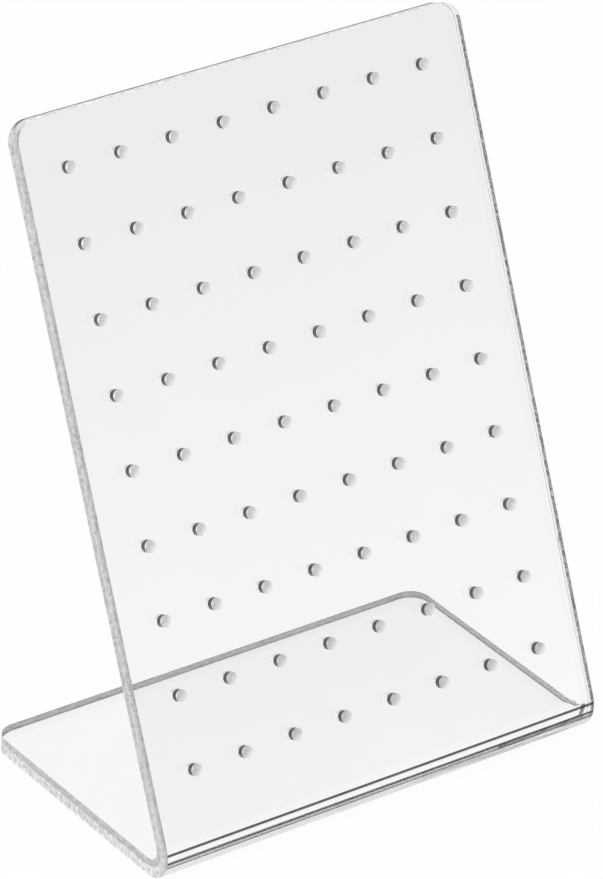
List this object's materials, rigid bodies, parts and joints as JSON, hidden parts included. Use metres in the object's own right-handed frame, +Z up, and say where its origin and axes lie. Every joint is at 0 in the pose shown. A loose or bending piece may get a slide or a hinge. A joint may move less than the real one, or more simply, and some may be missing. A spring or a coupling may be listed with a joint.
{
  "type": "earring display stand",
  "caption": "Clear acrylic jewellery stand: a sheet folded into a flat base and a leaning panel with a grid of small round holes for earrings.",
  "frame": {"origin": "middle of the footprint, on the surface the stand rests on", "axes": "+X across the sheet, to the right seen from the front; +Y to the rear; +Z up"},
  "size_m": [0.14, 0.0836, 0.1912],
  "materials": {
    "clear_acrylic": "clear, polished faces with finely blotched cut edges"
  },
  "bodies": {
    "root": {"display_stand": "clear_acrylic"}
  },
  "joints": []
}
